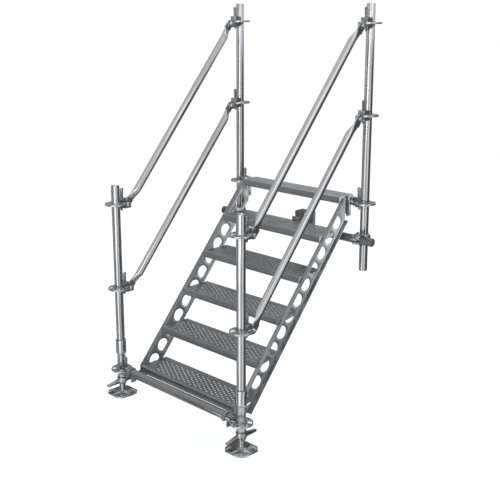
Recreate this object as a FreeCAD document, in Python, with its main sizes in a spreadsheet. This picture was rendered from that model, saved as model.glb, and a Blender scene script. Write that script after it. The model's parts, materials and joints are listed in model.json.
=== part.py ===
import FreeCAD, Part
import math
import os

import Sketcher
from FreeCAD import Placement, Rotation, Vector

# Scaffold access stair: one bay of ring scaffold with a steel flight of steps hooked between
# a low front ledger and a high rear ledger, on two screw jacks, and held back to a wall by a
# clamped tube with a wall bracket.
# Working axes: X to the right along the front, Y towards the wall, Z up. Heights and depths are
# counted from the axis of the left front post at its lowest rosette. The finished part has its
# origin on the wall bracket's back face, level with the clamped tube.

doc = FreeCAD.newDocument("ScaffoldStair")
sheet = doc.addObject("Spreadsheet::Sheet", "Sizes")


class Size:
    """A number together with the sheet formula that works it out."""

    def __init__(self, value, formula):
        self.value = float(value)
        self.formula = formula

    def joined(self, other, sign, value):
        return Size(value, f"({self.formula} {sign} {as_size(other).formula})")

    def __add__(self, other):
        return self.joined(other, "+", self.value + as_size(other).value)

    def __sub__(self, other):
        return self.joined(other, "-", self.value - as_size(other).value)

    def __mul__(self, other):
        return self.joined(other, "*", self.value * as_size(other).value)

    def __truediv__(self, other):
        return self.joined(other, "/", self.value / as_size(other).value)

    def __radd__(self, other):
        return as_size(other) + self

    def __rsub__(self, other):
        return as_size(other) - self

    def __rmul__(self, other):
        return as_size(other) * self

    def __neg__(self):
        return Size(-self.value, f"(0 - {self.formula})")


def as_size(amount):
    return amount if isinstance(amount, Size) else Size(amount, f"({float(amount)})")


def root(amount):
    return Size(math.sqrt(amount.value), f"sqrt({amount.formula})")


def size(alias, value):
    row = size.next_row
    size.next_row += 1
    sheet.set(f"A{row}", alias)
    sheet.set(f"B{row}", str(value))
    sheet.setAlias(f"B{row}", alias)
    return Size(value, f"Sizes.{alias}")


size.next_row = 1

# Bay and tubes
bay_width = size("bay_width", 1000)
bay_length = size("bay_length", 1000)
ring_pitch = size("ring_pitch", 500)
tube_od = size("tube_od", 48.3)
tube_wall = size("tube_wall", 3.2)
weld_gap = size("weld_gap", 0.15)
seat_gap = size("seat_gap", 0.3)
front_post_length = size("front_post_length", 1000)
rear_post_length = size("rear_post_length", 1500)
ring_above_end = size("ring_above_end", 395)
rear_ledger_level = 2 * ring_pitch
pin_hole_d = size("pin_hole_d", 13)
pin_hole_up = size("pin_hole_up", 42)

# Rosettes
ring_od = size("ring_od", 123)
ring_thick = size("ring_thick", 9.5)
opening_inner = size("opening_inner", 32)
opening_outer = size("opening_outer", 54)
small_opening_in = size("small_opening_in", 12)
small_opening_out = size("small_opening_out", 16)
large_opening_in = size("large_opening_in", 23)
large_opening_out = size("large_opening_out", 38)

# Base collars, jacks and wing nuts
collar_drop = size("collar_drop", 58)
sleeve_od = size("sleeve_od", 60.3)
sleeve_length = size("sleeve_length", 79)
sleeve_taper = size("sleeve_taper", 10)
sleeve_fit = size("sleeve_fit", 0.4)
spindle_od = size("spindle_od", 38)
spindle_wall = size("spindle_wall", 5)
spindle_length = size("spindle_length", 500)
foot_level = size("foot_level", 153)
plate_side = size("plate_side", 150)
plate_corner = size("plate_corner", 30)
plate_thick = size("plate_thick", 6)
rib_thick = size("rib_thick", 7)
rib_reach = size("rib_reach", 63)
rib_rise = size("rib_rise", 6)
plate_hole_d = size("plate_hole_d", 14)
plate_hole_grid = size("plate_hole_grid", 104)
boss_od = size("boss_od", 66)
boss_rise = size("boss_rise", 10)
nut_rise = size("nut_rise", 8)
nut_drop = size("nut_drop", 30)
nut_od = size("nut_od", 58)
nut_foot_od = size("nut_foot_od", 50)
nut_play = size("nut_play", 0.3)
wing_start = size("wing_start", 22)
wing_reach = size("wing_reach", 108)
wing_root_tall = size("wing_root_tall", 26)
wing_root_wide = size("wing_root_wide", 17)
wing_tip_tall = size("wing_tip_tall", 12)
wing_tip_wide = size("wing_tip_wide", 13)
wing_fall = size("wing_fall", 7)

# Wedge heads
head_reach = size("head_reach", 52)
head_round = size("head_round", 24)
head_wide = size("head_wide", 46)
head_lift = size("head_lift", 5)
head_low = size("head_low", 26)
head_high = size("head_high", 31)
ring_play = size("ring_play", 0.6)
wedge_in = size("wedge_in", 34)
wedge_wide_top = size("wedge_wide_top", 20)
wedge_wide_foot = size("wedge_wide_foot", 11)
wedge_thick = size("wedge_thick", 7)
wedge_high = size("wedge_high", 86)
wedge_low = size("wedge_low", 44)
wedge_play = size("wedge_play", 0.4)
wedge_clip = size("wedge_clip", 5)
wedge_hole_d = size("wedge_hole_d", 9)
wedge_hole_down = size("wedge_hole_down", 13)

# Guardrails
rail_od = size("rail_od", 42.4)
rail_wall = size("rail_wall", 2.6)
rail_pivot = size("rail_pivot", 82)
rail_pivot_drop = size("rail_pivot_drop", 14)
rail_flat_thick = size("rail_flat_thick", 9)
rail_flat_wide = size("rail_flat_wide", 44)
rail_flat_length = size("rail_flat_length", 62)
rail_neck = size("rail_neck", 55)
rail_bolt_d = size("rail_bolt_d", 13)
rail_head_reach = size("rail_head_reach", 58)
lug_root = size("lug_root", 4)
lug_thick = size("lug_thick", 8)
lug_wide = size("lug_wide", 42)

# Flight of steps
step_count = 5
first_top = size("first_top", 30)
first_front = size("first_front", 55)
landing_above = size("landing_above", 30)
landing_before = size("landing_before", 85)
landing_top = rear_ledger_level + landing_above
rise = (landing_top - first_top) / step_count
going = (bay_length - landing_before - first_front) / step_count
flight_left = size("flight_left", 105)
flight_right_room = size("flight_right_room", 119)
flight_wide = bay_width - flight_left - flight_right_room
tread_overlap = size("tread_overlap", 28)
tread_depth = going + tread_overlap
tread_sheet = size("tread_sheet", 2.5)
tread_nose = size("tread_nose", 38)
tread_heel = size("tread_heel", 8)
tread_lip = size("tread_lip", 14)
landing_depth = size("landing_depth", 125)
landing_end_depth = size("landing_end_depth", 51)
stringer_front = size("stringer_front", 60)
stringer_depth = size("stringer_depth", 110)
stringer_sheet = size("stringer_sheet", 4)
stringer_flange = size("stringer_flange", 25)
stringer_foot = size("stringer_foot", 42)
stringer_heel = size("stringer_heel", 42)
stringer_above = size("stringer_above", 22)
stringer_top = rear_ledger_level + stringer_above
flange_foot = size("flange_foot", 15)
stringer_head_gap = size("stringer_head_gap", 7.5)
stringer_hole_d = size("stringer_hole_d", 75)
stringer_hole_rise = size("stringer_hole_rise", 77)
stringer_hole_first = size("stringer_hole_first", 38)
stringer_hole_count = 12

# Hooks over the ledgers
hook_wide = size("hook_wide", 20)
hook_round = size("hook_round", 33)
hook_leg_drop = size("hook_leg_drop", 38)
hook_tip = size("hook_tip", 14)
hook_plate_thick = size("hook_plate_thick", 8)
hook_plate_reach = size("hook_plate_reach", 140)
end_plate_wide = size("end_plate_wide", 36)
end_plate_lap = size("end_plate_lap", 6)
end_plate_thick = size("end_plate_thick", 7)
end_plate_low = size("end_plate_low", 75)
end_plate_high = size("end_plate_high", 10)
catch_thick = size("catch_thick", 6)
catch_past = size("catch_past", 4)
catch_tall = size("catch_tall", 36)
front_catch_top = size("front_catch_top", 26)
rear_catch_tall = size("rear_catch_tall", 60)
rear_catch_top = size("rear_catch_top", 28)

# Wall tie: clamped tube, couplers and bracket
tie_past = size("tie_past", 97)
tie_cap = size("tie_cap", 3)
tie_plug = size("tie_plug", 20)
tie_level = size("tie_level", 796)
tie_offset = size("tie_offset", 53)
clamp_wall = size("clamp_wall", 7)
clamp_wide = size("clamp_wide", 50)
clamp_fit = size("clamp_fit", 0.2)
clamp_lug = size("clamp_lug", 22)
clamp_lug_thick = size("clamp_lug_thick", 14)
clamp_hinge = size("clamp_hinge", 10)
clamp_gap = size("clamp_gap", 4)
clamp_front_top = size("clamp_front_top", 20)
bracket_middle = size("bracket_middle", 545)
bracket_reach = size("bracket_reach", 103)
bracket_wide = size("bracket_wide", 98)
bracket_plate = size("bracket_plate", 6)
bracket_tall = size("bracket_tall", 168)
bracket_clamp_left = size("bracket_clamp_left", 49)
bracket_seat = size("bracket_seat", 34)
clamp_seat = size("clamp_seat", 26)
bracket_hole_d = size("bracket_hole_d", 14)
bracket_hole_across = size("bracket_hole_across", 56)
bracket_hole_up = size("bracket_hole_up", 115)

tube_radius = tube_od / 2
tube_bore = tube_radius - tube_wall
collar_top = ring_pitch - ring_above_end
rear_post_foot = rear_ledger_level - ring_above_end
flight_right = flight_left + flight_wide
slope_length = root(rise * rise + going * going)
stringer_back = stringer_front + stringer_depth * slope_length / rise
tie_length = bay_width + 2 * tie_past
tie_front = bay_length - tie_offset
bracket_face = tie_front + bracket_reach
part_origin = Vector(bracket_middle.value, bracket_face.value, tie_level.value)
subparts = []


def bind(thing, path, amount):
    amount = as_size(amount)
    thing.setExpression(path, amount.formula)


def new_body(label):
    body = doc.addObject("PartDesign::Body", label)
    body.AllowCompound = True
    return body


def new_sketch(body, plane, lift=0):
    sketch = body.newObject("Sketcher::SketchObject", "Outline")
    support = next(item for item in body.Origin.OriginFeatures if item.Role == plane)
    sketch.AttachmentSupport = [(support, "")]
    sketch.MapMode = "FlatFace"
    sketch.AttachmentOffset = Placement(Vector(0, 0, as_size(lift).value), Rotation())
    bind(sketch, "AttachmentOffset.Base.z", lift)
    return sketch


def fix_point(sketch, index, end, across, up):
    for kind, amount in (("DistanceX", as_size(across)), ("DistanceY", as_size(up))):
        sketch.addConstraint(Sketcher.Constraint(kind, -1, 1, index, end, amount.value))
        bind(sketch, f"Constraints[{sketch.ConstraintCount - 1}]", amount)


def draw_circle(sketch, across, up, radius):
    centre = Vector(as_size(across).value, as_size(up).value, 0)
    circle = Part.Circle(centre, Vector(0, 0, 1), as_size(radius).value)
    index = sketch.addGeometry(circle, False)
    sketch.addConstraint(Sketcher.Constraint("Radius", index, as_size(radius).value))
    bind(sketch, f"Constraints[{sketch.ConstraintCount - 1}]", radius)
    fix_point(sketch, index, 3, across, up)


def draw_outline(sketch, points):
    corners = [Vector(as_size(across).value, as_size(up).value, 0) for across, up in points]
    first = sketch.GeometryCount
    for start, end in zip(corners, corners[1:] + corners[:1]):
        sketch.addGeometry(Part.LineSegment(start, end), False)
    count = len(corners)
    for number in range(count):
        follower = first + (number + 1) % count
        sketch.addConstraint(Sketcher.Constraint("Coincident", first + number, 2, follower, 1))
    for number, (across, up) in enumerate(points):
        fix_point(sketch, first + number, 1, across, up)


def pad(body, sketch, length, reverse=False):
    feature = body.newObject("PartDesign::Pad", "Pad")
    feature.Profile = sketch
    feature.Length = as_size(length).value
    bind(feature, "Length", length)
    feature.Reversed = reverse
    sketch.Visibility = False
    return feature


def pocket(body, sketch, length):
    feature = body.newObject("PartDesign::Pocket", "Pocket")
    feature.Profile = sketch
    feature.Length = as_size(length).value
    bind(feature, "Length", length)
    return feature


def turned(body, sketch):
    feature = body.newObject("PartDesign::Revolution", "Turned")
    feature.Profile = sketch
    feature.ReferenceAxis = (sketch, ["V_Axis"])
    feature.Angle = 360
    return feature


def polar(body, feature, count):
    pattern = body.newObject("PartDesign::PolarPattern", "Around")
    pattern.Originals = [feature]
    axis = next(item for item in body.Origin.OriginFeatures if item.Role == "Z_Axis")
    pattern.Axis = (axis, [""])
    pattern.Angle = 360
    pattern.Occurrences = count
    body.Tip = pattern
    return pattern


def keep(thing, label, across=0, back=0, up=0, turn=None):
    """Names a finished sub-part and puts it at its place in the bay."""
    thing.Label = label
    place = Vector(as_size(across).value, as_size(back).value, as_size(up).value)
    thing.Placement = Placement(place - part_origin, turn or Rotation())
    subparts.append(thing)
    return thing


def box(low, high):
    """A block between two corners, bound to the sheet."""
    block = doc.addObject("Part::Box", "Block")
    edges = ("Length", "Width", "Height")
    for edge, axis, start, end in zip(edges, "xyz", low, high):
        bind(block, edge, as_size(end) - start)
        bind(block, f"Placement.Base.{axis}", start)
    return block


TO_X = Rotation(Vector(0, 1, 0), 90)
TO_Y = Rotation(Vector(1, 0, 0), -90)
TO_Z = Rotation()


def rod(radius, length, start, turn):
    """A round bar from its start point along Z, or along X or Y when turned."""
    bar = doc.addObject("Part::Cylinder", "Bar")
    bar.Placement = Placement(Vector(), turn)
    bind(bar, "Radius", radius)
    bind(bar, "Height", length)
    for axis, amount in zip("xyz", start):
        bind(bar, f"Placement.Base.{axis}", amount)
    return bar


def fused(pieces):
    joined = doc.addObject("Part::MultiFuse", "Joined")
    joined.Shapes = pieces
    joined.Refine = True
    return joined


def cut_from(base, tools):
    result = doc.addObject("Part::Cut", "Trimmed")
    result.Base = base
    result.Tool = tools[0] if len(tools) == 1 else fused(tools)
    return result


def tube_body(label, length, outer, inner):
    body = new_body(label)
    ring = new_sketch(body, "XY_Plane")
    draw_circle(ring, 0, 0, outer)
    draw_circle(ring, 0, 0, inner)
    pad(body, ring, length)
    return body


def pin_hole(body, height, reach):
    """A cross hole through both walls of an upright tube, along X."""
    hole = new_sketch(body, "YZ_Plane", reach)
    draw_circle(hole, 0, height, pin_hole_d / 2)
    pocket(body, hole, 2 * reach)


def post(label, across, back, foot, length):
    body = tube_body(label, length, tube_radius, tube_bore)
    pin_hole(body, pin_hole_up, tube_od)
    keep(body, label, across, back, foot)


def rosette(body, level):
    """One pierced disc: small openings face along and across the bay, large ones between."""
    disc = new_sketch(body, "XY_Plane", level - ring_thick / 2)
    draw_circle(disc, 0, 0, ring_od / 2)
    draw_circle(disc, 0, 0, tube_radius + weld_gap)
    pad(body, disc, ring_thick)
    slant = math.sqrt(0.5)
    shapes = (
        (small_opening_in, small_opening_out, 1, 0),
        (large_opening_in, large_opening_out, slant, slant),
    )
    for inner, outer, cosine, sine in shapes:
        corners = (
            (opening_inner, -inner / 2),
            (opening_outer, -outer / 2),
            (opening_outer, outer / 2),
            (opening_inner, inner / 2),
        )
        opening = new_sketch(body, "XY_Plane", level + ring_thick / 2)
        draw_outline(
            opening,
            [(out * cosine - side * sine, out * sine + side * cosine) for out, side in corners],
        )
        polar(body, pocket(body, opening, ring_thick), 4)


def rosettes(label, across, back, levels):
    body = new_body(label)
    for level in levels:
        rosette(body, level)
    keep(body, label, across, back, 0)


def base_collar(label, across):
    body = new_body(label)
    wall = new_sketch(body, "XZ_Plane")
    sleeve_foot = collar_top
    draw_outline(
        wall,
        [
            (tube_bore, -collar_drop),
            (tube_radius, -collar_drop),
            (tube_radius, sleeve_foot - sleeve_taper),
            (sleeve_od / 2, sleeve_foot),
            (sleeve_od / 2, sleeve_foot + sleeve_length),
            (tube_radius + sleeve_fit, sleeve_foot + sleeve_length),
            (tube_radius + sleeve_fit, sleeve_foot),
            (tube_bore, sleeve_foot),
        ],
    )
    turned(body, wall)
    pin_hole(body, collar_top + pin_hole_up, sleeve_od)
    keep(body, label, across, 0, 0)


def base_jack(label, across):
    """Screw spindle on a ribbed foot plate with cut corners."""
    body = new_body(label)
    plate = new_sketch(body, "XY_Plane")
    half = plate_side / 2
    clip = half - plate_corner
    draw_outline(
        plate,
        [
            (half, clip), (clip, half), (-clip, half), (-half, clip),
            (-half, -clip), (-clip, -half), (clip, -half), (half, -clip),
        ],
    )
    bore = spindle_od / 2 - spindle_wall
    draw_circle(plate, 0, 0, bore)
    for across_hole, back_hole in ((1, 1), (1, -1), (-1, 1), (-1, -1)):
        middle = plate_hole_grid / 2
        draw_circle(plate, across_hole * middle, back_hole * middle, plate_hole_d / 2)
    pad(body, plate, plate_thick)
    boss = new_sketch(body, "XZ_Plane")
    draw_outline(
        boss,
        [
            (bore, plate_thick),
            (boss_od / 2, plate_thick),
            (spindle_od / 2, plate_thick + boss_rise),
            (spindle_od / 2, plate_thick + spindle_length),
            (bore, plate_thick + spindle_length),
        ],
    )
    turned(body, boss)
    rib = new_sketch(body, "XY_Plane", plate_thick)
    rib_start = (spindle_od - spindle_wall) / 2
    draw_outline(
        rib,
        [
            (rib_start, -rib_thick / 2),
            (rib_reach, -rib_thick / 2),
            (rib_reach, rib_thick / 2),
            (rib_start, rib_thick / 2),
        ],
    )
    polar(body, pad(body, rib, rib_rise), 4)
    keep(body, label, across, 0, -foot_level)


def wing_nut(label, across):
    """Cup nut that the collar stands in, with two tapered levers."""
    body = new_body(label)
    cup = new_sketch(body, "XZ_Plane")
    bore = spindle_od / 2 + nut_play
    rim = tube_radius + 2 * seat_gap
    draw_outline(
        cup,
        [
            (bore, -nut_drop),
            (nut_foot_od / 2, -nut_drop),
            (nut_od / 2, -nut_drop / 2),
            (nut_od / 2, nut_rise),
            (rim, nut_rise),
            (rim, -nut_play),
            (bore, -nut_play),
        ],
    )
    turned(body, cup)
    for way in (1, -1):
        sections = []
        for reach, tall, wide, fall in (
            (wing_start, wing_root_tall, wing_root_wide, 0),
            (wing_reach, wing_tip_tall, wing_tip_wide, wing_fall),
        ):
            section = new_sketch(body, "XZ_Plane", -way * reach)
            middle = -nut_drop / 2 - fall
            draw_outline(
                section,
                [
                    (wide / 2, middle - tall / 2),
                    (wide / 2, middle + tall / 2),
                    (-wide / 2, middle + tall / 2),
                    (-wide / 2, middle - tall / 2),
                ],
            )
            sections.append(section)
        wing = body.newObject("PartDesign::AdditiveLoft", "Lever")
        wing.Profile = sections[0]
        wing.Sections = sections[1:]
        wing.Ruled = True
    keep(body, label, across, 0, -collar_drop)


def head_cuts():
    """What a wedge head leaves free: its post, the rosette in its mouth and the wedge."""
    ring_half = ring_thick / 2 + ring_play
    half_slot = wedge_thick / 2 + wedge_play
    return [
        rod(tube_radius + seat_gap, 2 * ring_od, (0, 0, -ring_od), TO_Z),
        box((0, -head_wide, -ring_half), (ring_od / 2 + ring_play, head_wide, ring_half)),
        box(
            (wedge_in - wedge_play, -half_slot, -head_wide),
            (wedge_in + wedge_wide_top + wedge_play, half_slot, head_wide),
        ),
    ]


def jaw(reach):
    return box((tube_radius / 2, -head_wide / 2, -head_low), (reach, head_wide / 2, head_high))


def ledger_head():
    """Wedge head, in its own frame: post on the Z axis, ledger leaving along +X."""
    round_end = rod(head_round, head_wide, (head_reach, -head_wide / 2, head_lift), TO_Y)
    return cut_from(fused([round_end, jaw(head_reach)]), head_cuts())


def ledger(label, back, level):
    """Tube between two posts with a wedge head on each end."""
    stub = head_reach + head_round / 2
    outer = rod(tube_radius, bay_width - 2 * stub, (stub, 0, 0), TO_X)
    inner = rod(tube_bore, bay_width - 2 * stub, (stub, 0, 0), TO_X)
    near_head = ledger_head()
    far_head = ledger_head()
    far_head.Placement = Placement(
        Vector(bay_width.value, 0, 0), Rotation(Vector(0, 0, 1), 180)
    )
    joined = fused([cut_from(outer, [inner]), near_head, far_head])
    keep(joined, label, 0, back, level)


def wedge():
    """Flat tapered wedge with clipped top corners and an eye, in the head's own frame."""
    body = new_body("Wedge")
    side = new_sketch(body, "XZ_Plane", -wedge_thick / 2)
    wedge_out = wedge_in + wedge_wide_top
    draw_outline(
        side,
        [
            (wedge_in, -wedge_low),
            (wedge_in + wedge_wide_foot, -wedge_low),
            (wedge_out, wedge_high - wedge_clip),
            (wedge_out - wedge_clip, wedge_high),
            (wedge_in + wedge_clip, wedge_high),
            (wedge_in, wedge_high - wedge_clip),
        ],
    )
    eye_middle = (wedge_in + wedge_out) / 2
    draw_circle(side, eye_middle, wedge_high - wedge_hole_down, wedge_hole_d / 2)
    pad(body, side, wedge_thick)
    return body


def placed(thing, across, back, up, degrees):
    """Turns a head or a wedge about its post and moves it to that post."""
    place = Vector(as_size(across).value, as_size(back).value, as_size(up).value)
    thing.Placement = Placement(place, Rotation(Vector(0, 0, 1), degrees))
    return thing


def group(label, pieces):
    """Like pieces that stand apart share one sub-part."""
    together = doc.addObject("Part::Compound", "Group")
    together.Links = pieces
    keep(together, label)


def rail_head(outward):
    """Wedge head with a pivot lug; outward is the side, 1 or -1, that the rail lies on."""
    lug_start = rail_head_reach - lug_root
    inner_side = -outward * lug_thick
    low_side, high_side = sorted((inner_side.value, 0.0))
    lug_low = -rail_pivot_drop - lug_wide / 2
    lug_high = -rail_pivot_drop + lug_wide / 2
    lug = box((lug_start, low_side, lug_low), (rail_pivot + lug_wide / 2, high_side, lug_high))
    bolt_start = (rail_pivot, low_side, -rail_pivot_drop)
    bolt_hole = rod(rail_bolt_d / 2, lug_thick, bolt_start, TO_Y)
    return cut_from(fused([jaw(rail_head_reach), lug]), head_cuts() + [bolt_hole])


def rail(label, across, outward, level):
    """Sloping guardrail tube, pressed flat at both ends for its pivot bolts."""
    run = bay_length.value - 2 * rail_pivot.value
    climb = 2 * ring_pitch.value
    length = math.hypot(run, climb)
    lean = math.degrees(math.atan2(run, climb))
    radius = rail_od.value / 2
    bore = radius - rail_wall.value
    flat_thick = rail_flat_thick.value
    flat_wide = rail_flat_wide.value
    flat_long = rail_flat_length.value
    neck = rail_neck.value
    # The tube's axis stands inboard of the flat, whose outer face is flush with the tube.
    offset = outward * (seat_gap.value + flat_thick - radius)
    flat_middle = outward * (seat_gap.value + flat_thick / 2)
    flat_face = flat_middle - flat_thick / 2
    neck_start = flat_long - flat_wide / 2

    def round_wire(size_radius, height):
        ring = Part.Circle(Vector(offset, 0, height), Vector(0, 0, 1), size_radius)
        return Part.Wire([ring.toShape()])

    def flat_wire(height, trim):
        half_wide = flat_wide / 2 - trim
        half_thick = flat_thick / 2 - trim
        oval = Part.Ellipse(
            Vector(flat_middle, half_wide, height),
            Vector(flat_middle - half_thick, 0, height),
            Vector(flat_middle, 0, height),
        )
        return Part.Wire([oval.toShape()])

    def disc(size_radius):
        return Part.makeCylinder(
            size_radius, flat_thick, Vector(flat_face, 0, 0), Vector(1, 0, 0)
        )

    start = neck_start + neck

    def pressed_end():
        corner = Vector(flat_face, -flat_wide / 2, 0)
        plate = Part.makeBox(flat_thick, flat_wide, neck_start, corner)
        cap = disc(flat_wide / 2)
        hole = disc(rail_bolt_d.value / 2)
        skin = Part.makeLoft([flat_wire(neck_start, 0), round_wire(radius, start)], True)
        hollow_wires = [flat_wire(neck_start, rail_wall.value), round_wire(bore, start)]
        hollow = Part.makeLoft(hollow_wires, True)
        return plate.fuse([cap]).cut(hole).fuse([skin.cut(hollow)]).removeSplitter()

    barrel = Part.makeCylinder(radius, length - 2 * start, Vector(offset, 0, start))
    barrel = barrel.cut(Part.makeCylinder(bore, length - 2 * start, Vector(offset, 0, start)))
    lower = pressed_end()
    upper = pressed_end()
    upper.rotate(Vector(0, 0, 0), Vector(1, 0, 0), 180)
    upper.translate(Vector(0, 0, length))
    feature = doc.addObject("Part::Feature", "Rail")
    feature.Shape = barrel.fuse([lower, upper]).removeSplitter()
    keep(
        feature, label, across, rail_pivot, level - rail_pivot_drop,
        Rotation(Vector(1, 0, 0), -lean),
    )


def stringer(label, side):
    """Channel with its web to the steps, its flanges outwards and a row of round holes."""
    body = new_body(label)
    rear_cut = bay_length - tube_radius - stringer_head_gap

    def front_at(level):
        return stringer_front + level * going / rise

    def back_at(level):
        return stringer_back + level * going / rise

    def level_of(depth, line):
        return (depth - line) * rise / going

    outward = side > 0
    foot = -stringer_foot
    web = new_sketch(body, "YZ_Plane")
    draw_outline(
        web,
        [
            (stringer_heel, foot),
            (back_at(foot), foot),
            (rear_cut, level_of(rear_cut, stringer_back)),
            (rear_cut, stringer_top),
            (front_at(stringer_top), stringer_top),
            (stringer_heel, level_of(stringer_heel, stringer_front)),
        ],
    )
    for number in range(stringer_hole_count):
        level = stringer_hole_first + number * stringer_hole_rise
        middle = (front_at(level) + back_at(level)) / 2
        draw_circle(web, middle, level, stringer_hole_d / 2)
    pad(body, web, stringer_sheet, reverse=not outward)
    sheet_run = stringer_sheet * slope_length / rise
    strips = (
        (front_at, sheet_run, flange_foot, stringer_top),
        (back_at, -sheet_run, foot, level_of(rear_cut, stringer_back)),
    )
    for edge_at, inwards, lower, upper in strips:
        flange = new_sketch(body, "YZ_Plane")
        draw_outline(
            flange,
            [
                (edge_at(lower), lower),
                (edge_at(upper), upper),
                (edge_at(upper) + inwards, upper),
                (edge_at(lower) + inwards, lower),
            ],
        )
        pad(body, flange, stringer_sheet + stringer_flange, reverse=not outward)
    keep(body, label, flight_right if outward else flight_left)


def step(label, depth, end_depth, front, top):
    """Folded sheet step: nose, top and heel in one bend, with a welded plate at each end."""
    body = new_body(label)
    fold = new_sketch(body, "YZ_Plane")
    sheet_in = tread_sheet
    draw_outline(
        fold,
        [
            (0, 0),
            (depth, 0),
            (depth, -tread_heel),
            (depth - sheet_in, -tread_heel),
            (depth - sheet_in, -sheet_in),
            (sheet_in, -sheet_in),
            (sheet_in, sheet_in - tread_nose),
            (tread_lip, sheet_in - tread_nose),
            (tread_lip, -tread_nose),
            (0, -tread_nose),
        ],
    )
    pad(body, fold, flight_wide)
    for lift in (0, flight_wide - tread_sheet):
        end = new_sketch(body, "YZ_Plane", lift)
        draw_outline(
            end,
            [
                (sheet_in, -sheet_in),
                (end_depth, -sheet_in),
                (end_depth, -tread_heel),
                (tread_lip, sheet_in - tread_nose),
                (sheet_in, sheet_in - tread_nose),
            ],
        )
        pad(body, end, tread_sheet)
    keep(body, label, flight_left, front, top)


def claw(low, high, stair_leg):
    """Bent strip over a ledger lying along X; the stair is on its -Y side."""
    room = tube_radius + seat_gap
    arch = [
        rod(hook_round, hook_wide, (low, 0, 0), TO_X),
        box((low, -room - stair_leg, -hook_leg_drop), (high, 0, 0)),
    ]
    clear = [
        rod(room, hook_wide, (low, 0, 0), TO_X),
        box((low, -room, -hook_leg_drop), (high, hook_round, 0)),
    ]
    tip = box((low, room, -hook_tip), (high, hook_round, 0))
    return [cut_from(fused(arch), clear), tip]


def catch(low, high, start, top, tall):
    """Locking plate that hangs below the ledger in the middle of a claw."""
    middle = (low + high) / 2
    return box(
        (middle - catch_thick / 2, start, -top - tall),
        (middle + catch_thick / 2, catch_past, -top),
    )


def front_hook(label, low, high, plate_low):
    """Claw whose long leg carries a plate lapped on the stringer's web."""
    plate = box(
        (plate_low, -hook_plate_reach, -hook_leg_drop),
        (plate_low + hook_plate_thick, -tube_radius - seat_gap, 0),
    )
    leg = hook_round / 2
    lock = catch(low, high, -hook_round, front_catch_top, catch_tall)
    pieces = claw(low, high, leg) + [plate, lock]
    keep(fused(pieces), label, 0, 0, 0, Rotation(Vector(0, 0, 1), 180))


def rear_hook(label, low, high, plate_low):
    """Claw on the plate that closes the stringer's upper end."""
    front = -tube_radius - stringer_head_gap
    plate = box(
        (plate_low, front, -end_plate_low),
        (plate_low + end_plate_wide, front + end_plate_thick, end_plate_high),
    )
    pieces = claw(low, high, -front - seat_gap - tube_radius)
    pieces += [plate, catch(low, high, front, rear_catch_top, rear_catch_tall)]
    keep(fused(pieces), label, 0, bay_length, rear_ledger_level)


def coupler(label, across):
    """Right-angle clamp: one split ring on a rear post, one on the tie tube in front of it."""
    outer = tube_radius + clamp_wall
    half = clamp_wide / 2
    half_lug = clamp_lug_thick / 2
    half_gap = clamp_gap / 2
    lug_end = outer + clamp_lug
    tie_lug_end = -tie_offset - lug_end
    tie_lug_root = -tie_offset - tube_radius
    pieces = [
        rod(outer, clamp_wide, (0, 0, -half), TO_Z),
        rod(outer, clamp_wide, (-half, -tie_offset, 0), TO_X),
        box((-lug_end, -half_lug, -half), (-tube_radius, half_lug, half)),
        box((tube_radius, -half_lug, -half), (outer + clamp_hinge, half_lug, half)),
        box((-half, tie_lug_end, -half_lug), (half, tie_lug_root, half_lug)),
    ]
    room = tube_radius + clamp_fit
    cuts = [
        rod(room, 2 * clamp_wide, (0, 0, -clamp_wide), TO_Z),
        rod(room, 2 * clamp_wide, (-clamp_wide, -tie_offset, 0), TO_X),
        box((-lug_end, -half_gap, -half), (-tube_radius, half_gap, half)),
        box((-half, tie_lug_end, -half_gap), (half, tie_lug_root, half_gap)),
    ]
    keep(cut_from(fused(pieces), cuts), label, across, bay_length, tie_level)


def bracket_clamp():
    """Open clamp on the bracket's seat; its front is cut away below the fifth tread."""
    outer = tube_radius + clamp_wall
    low = -bracket_clamp_left
    high = clamp_wide - bracket_clamp_left
    pieces = [
        rod(outer, clamp_wide, (low, 0, 0), TO_X),
        box((low, tube_radius, -clamp_seat), (high, bracket_seat, clamp_seat)),
        box((low, 0, tube_radius), (high, clamp_lug_thick, outer + clamp_lug)),
    ]
    cuts = [
        rod(tube_radius + clamp_fit, clamp_wide, (low, 0, 0), TO_X),
        box((low, -outer, clamp_front_top), (high, 0, outer)),
    ]
    clamp = cut_from(fused(pieces), cuts)
    keep(clamp, "bracket_clamp", bracket_middle, tie_front, tie_level)


def tie_caps():
    """A plug with a flat cap in each end of the tie tube."""
    caps = []
    right_end = bay_width + tie_past
    starts = ((-tie_past - tie_cap, -tie_past), (right_end, right_end - tie_plug))
    for cap_start, plug_start in starts:
        cap = rod(tube_radius, tie_cap, (cap_start, tie_front, tie_level), TO_X)
        plug = rod(tube_bore - weld_gap, tie_plug, (plug_start, tie_front, tie_level), TO_X)
        caps.append(fused([cap, plug]))
    group("tie_caps", caps)


def wall_bracket():
    """Welded bracket: side plate, floor plate, a seat for the clamp and a plate on the wall."""
    half = bracket_wide / 2
    side_low = -half - bracket_plate
    plate_front = bracket_reach - bracket_plate
    half_tall = bracket_tall / 2
    seat_back = bracket_seat + bracket_plate
    floor_top = -clamp_seat
    floor_low = floor_top - bracket_plate
    pieces = [
        box((-half, plate_front, -half_tall), (half, bracket_reach, half_tall)),
        box((side_low, bracket_seat, floor_low), (-half, bracket_reach, half_tall)),
        box((-half, bracket_seat, floor_top), (0, seat_back, clamp_seat)),
        box((-half, bracket_seat, floor_low), (half, plate_front, floor_top)),
    ]
    holes = []
    for across in (-bracket_hole_across / 2, bracket_hole_across / 2):
        for up in (-bracket_hole_up / 2, bracket_hole_up / 2):
            start = (across, plate_front, up)
            holes.append(rod(bracket_hole_d / 2, bracket_plate, start, TO_Y))
    bracket = cut_from(fused(pieces), holes)
    keep(bracket, "wall_bracket", bracket_middle, tie_front, tie_level)


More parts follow.
